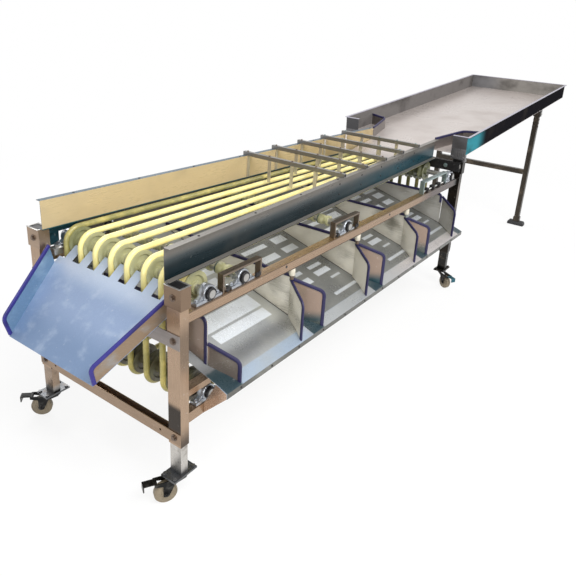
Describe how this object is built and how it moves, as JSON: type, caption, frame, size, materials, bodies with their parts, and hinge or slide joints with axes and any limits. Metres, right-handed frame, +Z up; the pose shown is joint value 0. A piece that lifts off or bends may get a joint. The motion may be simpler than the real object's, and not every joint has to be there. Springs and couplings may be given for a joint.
{
  "type": "fruit grading machine",
  "caption": "Belt fruit grader: diverging round belts drop fruit by size into side chutes, with a sloped feed tray on a folding leg and an end discharge chute, on a castor frame.",
  "frame": {"origin": "centre of the footprint's box, on the floor", "axes": "+X from the discharge end to the feed tray, +Y away from the grade outlets, +Z up"},
  "size_m": [5.1034, 0.9964, 1.1914],
  "materials": {
    "stainless": "satin stainless, warm reflections",
    "bright_sheet": "bright stainless sheet",
    "guard_sheet": "satin stainless sheet",
    "film_sheet": "stainless sheet with blue tint",
    "zinc": "zinc plated",
    "cast_housing": "cast housing",
    "black_rubber": "matt black",
    "indigo_trim": "soft edge trim",
    "belt_pu": "satin polyurethane",
    "cream_nylon": "translucent nylon",
    "tray_liner": "matt stainless",
    "rim_edge": "folded rim",
    "tan_pu": "polyurethane tyre",
    "grey_paint": "grey paint"
  },
  "bodies": {
    "machine": {"outer_legs": "stainless", "leg_brackets": "stainless", "upper_rails": "stainless", "lower_rails": "stainless", "end_channels": "stainless", "cross_angle": "stainless", "infeed_beam": "stainless", "side_guards": "guard_sheet", "crossbars": "zinc", "lane_fingers": "zinc", "belt_runs": "belt_pu", "belt_bends": "belt_pu", "bearing_housings": "cast_housing", "bearing_inserts": "black_rubber", "adjuster_frames": "stainless", "discharge_floor": "film_sheet", "discharge_walls": "stainless", "chute_floor": "bright_sheet", "chute_dividers": "bright_sheet", "chute_cheeks": "bright_sheet", "edge_trim": "indigo_trim", "tray_floor": "tray_liner", "tray_walls": "guard_sheet", "tray_rim": "rim_edge", "feed_tongue": "bright_sheet", "feed_gates": "bright_sheet", "tray_brackets": "black_rubber", "gear_motor": "grey_paint", "gearbox": "grey_paint", "fasteners": "zinc"},
    "discharge_roll": {"discharge_shaft": "zinc", "discharge_pulleys": "cream_nylon"},
    "return_roll": {"return_shaft": "zinc", "return_pulleys": "cream_nylon"},
    "idler_roll_a": {"idler_shaft_a": "zinc", "idler_pulleys_a": "cream_nylon"},
    "idler_roll_b": {"idler_shaft_b": "zinc", "idler_pulleys_b": "cream_nylon"},
    "infeed_roll": {"infeed_shaft": "zinc", "infeed_pulleys": "cream_nylon"},
    "drive_roll": {"drive_shaft": "zinc", "drive_pulleys": "cream_nylon"},
    "support": {"support_frame": "stainless", "support_feet": "black_rubber"},
    "leg_1": {"inner_leg_1": "zinc"},
    "fork_1": {"castor_fork_1": "zinc"},
    "wheel_1": {"castor_wheel_1": "tan_pu"},
    "pedal_1": {"castor_pedal_1": "zinc"},
    "leg_2": {"inner_leg_2": "zinc"},
    "fork_2": {"castor_fork_2": "zinc"},
    "wheel_2": {"castor_wheel_2": "tan_pu"},
    "pedal_2": {"castor_pedal_2": "zinc"},
    "leg_3": {"inner_leg_3": "zinc"},
    "fork_3": {"castor_fork_3": "zinc"},
    "wheel_3": {"castor_wheel_3": "tan_pu"},
    "pedal_3": {"castor_pedal_3": "zinc"},
    "leg_4": {"inner_leg_4": "zinc"},
    "fork_4": {"castor_fork_4": "zinc"},
    "wheel_4": {"castor_wheel_4": "tan_pu"},
    "pedal_4": {"castor_pedal_4": "zinc"}
  },
  "joints": [
    {"name": "drive_spin", "type": "hinge", "parent": "machine", "child": "drive_roll", "pos_m": [0.0155, 0.0185, 0.394], "axis": [0, 1, 0], "continuous": true},
    {"name": "discharge_spin", "type": "hinge", "parent": "machine", "child": "discharge_roll", "pos_m": [-2.1595, 0.0185, 0.792], "axis": [0, 1, 0], "continuous": true},
    {"name": "return_spin", "type": "hinge", "parent": "machine", "child": "return_roll", "pos_m": [-2.1595, 0.0185, 0.394], "axis": [0, 1, 0], "continuous": true},
    {"name": "idler_a_spin", "type": "hinge", "parent": "machine", "child": "idler_roll_a", "pos_m": [-1.9805, 0.0185, 0.792], "axis": [0, 1, 0], "continuous": true},
    {"name": "idler_b_spin", "type": "hinge", "parent": "machine", "child": "idler_roll_b", "pos_m": [-1.2385, 0.0185, 0.792], "axis": [0, 1, 0], "continuous": true},
    {"name": "infeed_spin", "type": "hinge", "parent": "machine", "child": "infeed_roll", "pos_m": [0.0155, 0.0185, 0.792], "axis": [0, 1, 0], "continuous": true},
    {"name": "leg_1_extend", "type": "slide", "parent": "machine", "child": "leg_1", "axis": [0, 0, -1], "range_m": [0, 0.1]},
    {"name": "castor_1_swivel", "type": "hinge", "parent": "leg_1", "child": "fork_1", "pos_m": [-2.2945, -0.3615, 0.122], "axis": [0, 0, 1], "continuous": true},
    {"name": "castor_1_roll", "type": "hinge", "parent": "fork_1", "child": "wheel_1", "pos_m": [-2.33954, -0.3355, 0.043], "axis": [0.5, 0.866, 0], "continuous": true},
    {"name": "castor_1_brake", "type": "hinge", "parent": "fork_1", "child": "pedal_1", "pos_m": [-2.37071, -0.3175, 0.092], "axis": [-0.5, -0.866, 0], "range_deg": [0, 22]},
    {"name": "leg_2_extend", "type": "slide", "parent": "machine", "child": "leg_2", "axis": [0, 0, -1], "range_m": [0, 0.1]},
    {"name": "castor_2_swivel", "type": "hinge", "parent": "leg_2", "child": "fork_2", "pos_m": [-2.2945, 0.3985, 0.122], "axis": [0, 0, 1], "continuous": true},
    {"name": "castor_2_roll", "type": "hinge", "parent": "fork_2", "child": "wheel_2", "pos_m": [-2.33127, 0.43527, 0.043], "axis": [0.7071, 0.7071, 0], "continuous": true},
    {"name": "castor_2_brake", "type": "hinge", "parent": "fork_2", "child": "pedal_2", "pos_m": [-2.35673, 0.46072, 0.092], "axis": [-0.7071, -0.7071, 0], "range_deg": [0, 22]},
    {"name": "leg_3_extend", "type": "slide", "parent": "machine", "child": "leg_3", "axis": [0, 0, -1], "range_m": [0, 0.1]},
    {"name": "castor_3_swivel", "type": "hinge", "parent": "leg_3", "child": "fork_3", "pos_m": [0.1555, -0.3615, 0.122], "axis": [0, 0, 1], "continuous": true},
    {"name": "castor_3_roll", "type": "hinge", "parent": "fork_3", "child": "wheel_3", "pos_m": [0.1295, -0.40653, 0.043], "axis": [-0.866, 0.5, 0], "continuous": true},
    {"name": "castor_3_brake", "type": "hinge", "parent": "fork_3", "child": "pedal_3", "pos_m": [0.1115, -0.43771, 0.092], "axis": [0.866, -0.5, 0], "range_deg": [0, 22]},
    {"name": "leg_4_extend", "type": "slide", "parent": "machine", "child": "leg_4", "axis": [0, 0, -1], "range_m": [0, 0.1]},
    {"name": "castor_4_swivel", "type": "hinge", "parent": "leg_4", "child": "fork_4", "pos_m": [0.1555, 0.3985, 0.122], "axis": [0, 0, 1], "continuous": true},
    {"name": "castor_4_roll", "type": "hinge", "parent": "fork_4", "child": "wheel_4", "pos_m": [0.2075, 0.3985, 0.043], "axis": [0, -1, 0], "continuous": true},
    {"name": "castor_4_brake", "type": "hinge", "parent": "fork_4", "child": "pedal_4", "pos_m": [0.2435, 0.3985, 0.092], "axis": [0, 1, 0], "range_deg": [0, 22]},
    {"name": "support_fold", "type": "hinge", "parent": "machine", "child": "support", "pos_m": [1.85391, 0.0185, 0.99572], "axis": [0, 1, 0], "range_deg": [0, 80]}
  ],
  "couplings": [
    {"joint": "discharge_spin", "follows": "drive_spin", "ratio": 1},
    {"joint": "return_spin", "follows": "drive_spin", "ratio": 1},
    {"joint": "infeed_spin", "follows": "drive_spin", "ratio": 1}
  ]
}
